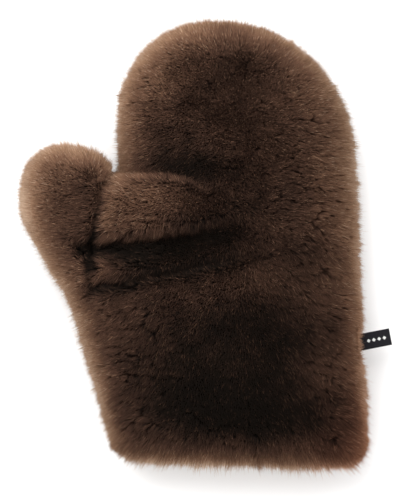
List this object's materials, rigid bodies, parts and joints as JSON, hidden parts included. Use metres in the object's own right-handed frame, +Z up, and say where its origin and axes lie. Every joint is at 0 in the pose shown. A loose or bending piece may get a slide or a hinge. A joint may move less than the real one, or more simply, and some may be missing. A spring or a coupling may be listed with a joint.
{
  "type": "wash mitt",
  "caption": "Flat sheepskin wash mitt with a separate thumb, dense sheared pile outside, an open cuff and a small woven label in the side seam.",
  "frame": {"origin": "middle of the bounding box in plan, on the surface that the mitt's back lies on", "axes": "+X from the thumb side to the label side, +Y from the cuff to the fingertips, +Z up out of the palm"},
  "size_m": [0.2204, 0.2724, 0.05],
  "materials": {
    "pile": "dense sheared sheepskin pile, dark brown with tan tips at the rim",
    "hide": "suede skin side, tan",
    "thread": "twisted brown sewing thread",
    "tape": "brown herringbone cotton tape",
    "label": "black woven label, matt"
  },
  "bodies": {
    "mitt": {"palm_pile": "pile", "back_pile": "pile", "palm_hide": "hide", "back_hide": "hide", "hand_seam_stitches": "thread", "thumb_root_stitches": "thread", "cuff_tape": "tape", "cuff_stitches": "thread"},
    "thumb": {"thumb_palm_pile": "pile", "thumb_back_pile": "pile", "thumb_palm_hide": "hide", "thumb_back_hide": "hide", "thumb_seam_stitches": "thread"},
    "label": {"side_label": "label"}
  },
  "joints": [
    {"name": "thumb_fold", "type": "hinge", "parent": "mitt", "child": "thumb", "pos_m": [-0.06593, 0.00028, 0.025], "axis": [0.2808, 0.9598, 0], "range_deg": [-10, 45], "stiffness_Nm_per_rad": 0.03},
    {"name": "label_flip", "type": "hinge", "parent": "mitt", "child": "label", "pos_m": [0.07927, -0.05832, 0.025], "axis": [0.1908, -0.9816, 0], "range_deg": [-25, 25], "stiffness_Nm_per_rad": 0.0003}
  ]
}
